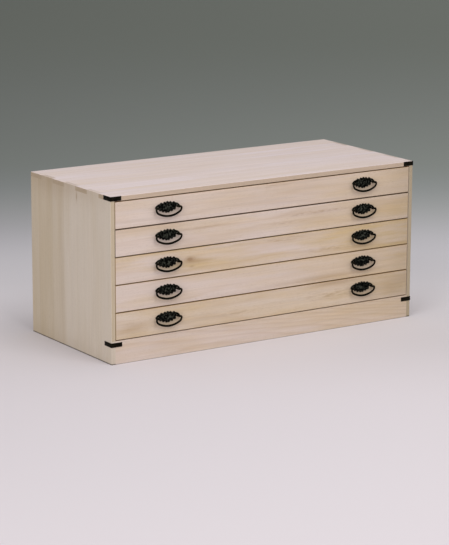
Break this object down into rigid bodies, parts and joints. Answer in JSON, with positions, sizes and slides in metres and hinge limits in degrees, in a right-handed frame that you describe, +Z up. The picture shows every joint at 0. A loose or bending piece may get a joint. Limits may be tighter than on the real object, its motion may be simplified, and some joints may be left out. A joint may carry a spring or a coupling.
{
  "type": "small tansu chest",
  "caption": "Low chest of full-width drawers in pale wood, with black iron drop handles and corner brackets; drawers slide and handles swing.",
  "frame": {"origin": "middle of the whole chest's footprint, on the floor", "axes": "+Z up, +X along the width to the viewer's right, the drawers open towards -Y"},
  "size_m": [0.99, 0.44, 0.45],
  "materials": {
    "casing_wood": "bare planed wood, matt",
    "drawer_wood": "bare planed wood, matt",
    "black_iron": "blackened, satin"
  },
  "bodies": {
    "casing": {"top_board": "casing_wood", "side_board_left": "casing_wood", "side_board_right": "casing_wood", "bottom_board": "casing_wood", "shelf_board_1": "casing_wood", "shelf_board_2": "casing_wood", "shelf_board_3": "casing_wood", "shelf_board_4": "casing_wood", "top_drawer_stop_strip": "casing_wood", "back_panel": "casing_wood", "back_panel_pegs": "casing_wood", "plinth_front_board": "casing_wood", "plinth_rear_rail": "casing_wood", "corner_brackets": "black_iron", "bracket_nails": "black_iron"},
    "drawer_1": {"drawer_1_front": "drawer_wood", "drawer_1_side_left": "drawer_wood", "drawer_1_side_right": "drawer_wood", "drawer_1_back": "drawer_wood", "drawer_1_bottom": "drawer_wood", "drawer_1_handle_plates": "black_iron", "drawer_1_handle_posts": "black_iron"},
    "drawer_1_bail_left": {"drawer_1_bail_left": "black_iron"},
    "drawer_1_bail_right": {"drawer_1_bail_right": "black_iron"},
    "drawer_2": {"drawer_2_front": "drawer_wood", "drawer_2_side_left": "drawer_wood", "drawer_2_side_right": "drawer_wood", "drawer_2_back": "drawer_wood", "drawer_2_bottom": "drawer_wood", "drawer_2_handle_plates": "black_iron", "drawer_2_handle_posts": "black_iron"},
    "drawer_2_bail_left": {"drawer_2_bail_left": "black_iron"},
    "drawer_2_bail_right": {"drawer_2_bail_right": "black_iron"},
    "drawer_3": {"drawer_3_front": "drawer_wood", "drawer_3_side_left": "drawer_wood", "drawer_3_side_right": "drawer_wood", "drawer_3_back": "drawer_wood", "drawer_3_bottom": "drawer_wood", "drawer_3_handle_plates": "black_iron", "drawer_3_handle_posts": "black_iron"},
    "drawer_3_bail_left": {"drawer_3_bail_left": "black_iron"},
    "drawer_3_bail_right": {"drawer_3_bail_right": "black_iron"},
    "drawer_4": {"drawer_4_front": "drawer_wood", "drawer_4_side_left": "drawer_wood", "drawer_4_side_right": "drawer_wood", "drawer_4_back": "drawer_wood", "drawer_4_bottom": "drawer_wood", "drawer_4_handle_plates": "black_iron", "drawer_4_handle_posts": "black_iron"},
    "drawer_4_bail_left": {"drawer_4_bail_left": "black_iron"},
    "drawer_4_bail_right": {"drawer_4_bail_right": "black_iron"},
    "drawer_5": {"drawer_5_front": "drawer_wood", "drawer_5_side_left": "drawer_wood", "drawer_5_side_right": "drawer_wood", "drawer_5_back": "drawer_wood", "drawer_5_bottom": "drawer_wood", "drawer_5_handle_plates": "black_iron", "drawer_5_handle_posts": "black_iron"},
    "drawer_5_bail_left": {"drawer_5_bail_left": "black_iron"},
    "drawer_5_bail_right": {"drawer_5_bail_right": "black_iron"}
  },
  "joints": [
    {"name": "drawer_1_slide", "type": "slide", "parent": "casing", "child": "drawer_1", "axis": [0, -1, 0], "range_m": [0, 0.36]},
    {"name": "drawer_1_bail_left_hinge", "type": "hinge", "parent": "drawer_1", "child": "drawer_1_bail_left", "pos_m": [-0.3202, -0.217, 0.40521], "axis": [-1, 0, 0], "range_deg": [-12, 190]},
    {"name": "drawer_1_bail_right_hinge", "type": "hinge", "parent": "drawer_1", "child": "drawer_1_bail_right", "pos_m": [0.3202, -0.217, 0.40521], "axis": [-1, 0, 0], "range_deg": [-12, 190]},
    {"name": "drawer_2_slide", "type": "slide", "parent": "casing", "child": "drawer_2", "axis": [0, -1, 0], "range_m": [0, 0.36]},
    {"name": "drawer_2_bail_left_hinge", "type": "hinge", "parent": "drawer_2", "child": "drawer_2_bail_left", "pos_m": [-0.3202, -0.217, 0.33083], "axis": [-1, 0, 0], "range_deg": [-12, 190]},
    {"name": "drawer_2_bail_right_hinge", "type": "hinge", "parent": "drawer_2", "child": "drawer_2_bail_right", "pos_m": [0.3202, -0.217, 0.33083], "axis": [-1, 0, 0], "range_deg": [-12, 190]},
    {"name": "drawer_3_slide", "type": "slide", "parent": "casing", "child": "drawer_3", "axis": [0, -1, 0], "range_m": [0, 0.36]},
    {"name": "drawer_3_bail_left_hinge", "type": "hinge", "parent": "drawer_3", "child": "drawer_3_bail_left", "pos_m": [-0.3202, -0.217, 0.25645], "axis": [-1, 0, 0], "range_deg": [-12, 190]},
    {"name": "drawer_3_bail_right_hinge", "type": "hinge", "parent": "drawer_3", "child": "drawer_3_bail_right", "pos_m": [0.3202, -0.217, 0.25645], "axis": [-1, 0, 0], "range_deg": [-12, 190]},
    {"name": "drawer_4_slide", "type": "slide", "parent": "casing", "child": "drawer_4", "axis": [0, -1, 0], "range_m": [0, 0.36]},
    {"name": "drawer_4_bail_left_hinge", "type": "hinge", "parent": "drawer_4", "child": "drawer_4_bail_left", "pos_m": [-0.3202, -0.217, 0.18207], "axis": [-1, 0, 0], "range_deg": [-12, 190]},
    {"name": "drawer_4_bail_right_hinge", "type": "hinge", "parent": "drawer_4", "child": "drawer_4_bail_right", "pos_m": [0.3202, -0.217, 0.18207], "axis": [-1, 0, 0], "range_deg": [-12, 190]},
    {"name": "drawer_5_slide", "type": "slide", "parent": "casing", "child": "drawer_5", "axis": [0, -1, 0], "range_m": [0, 0.36]},
    {"name": "drawer_5_bail_left_hinge", "type": "hinge", "parent": "drawer_5", "child": "drawer_5_bail_left", "pos_m": [-0.3202, -0.217, 0.10769], "axis": [-1, 0, 0], "range_deg": [-12, 190]},
    {"name": "drawer_5_bail_right_hinge", "type": "hinge", "parent": "drawer_5", "child": "drawer_5_bail_right", "pos_m": [0.3202, -0.217, 0.10769], "axis": [-1, 0, 0], "range_deg": [-12, 190]}
  ]
}
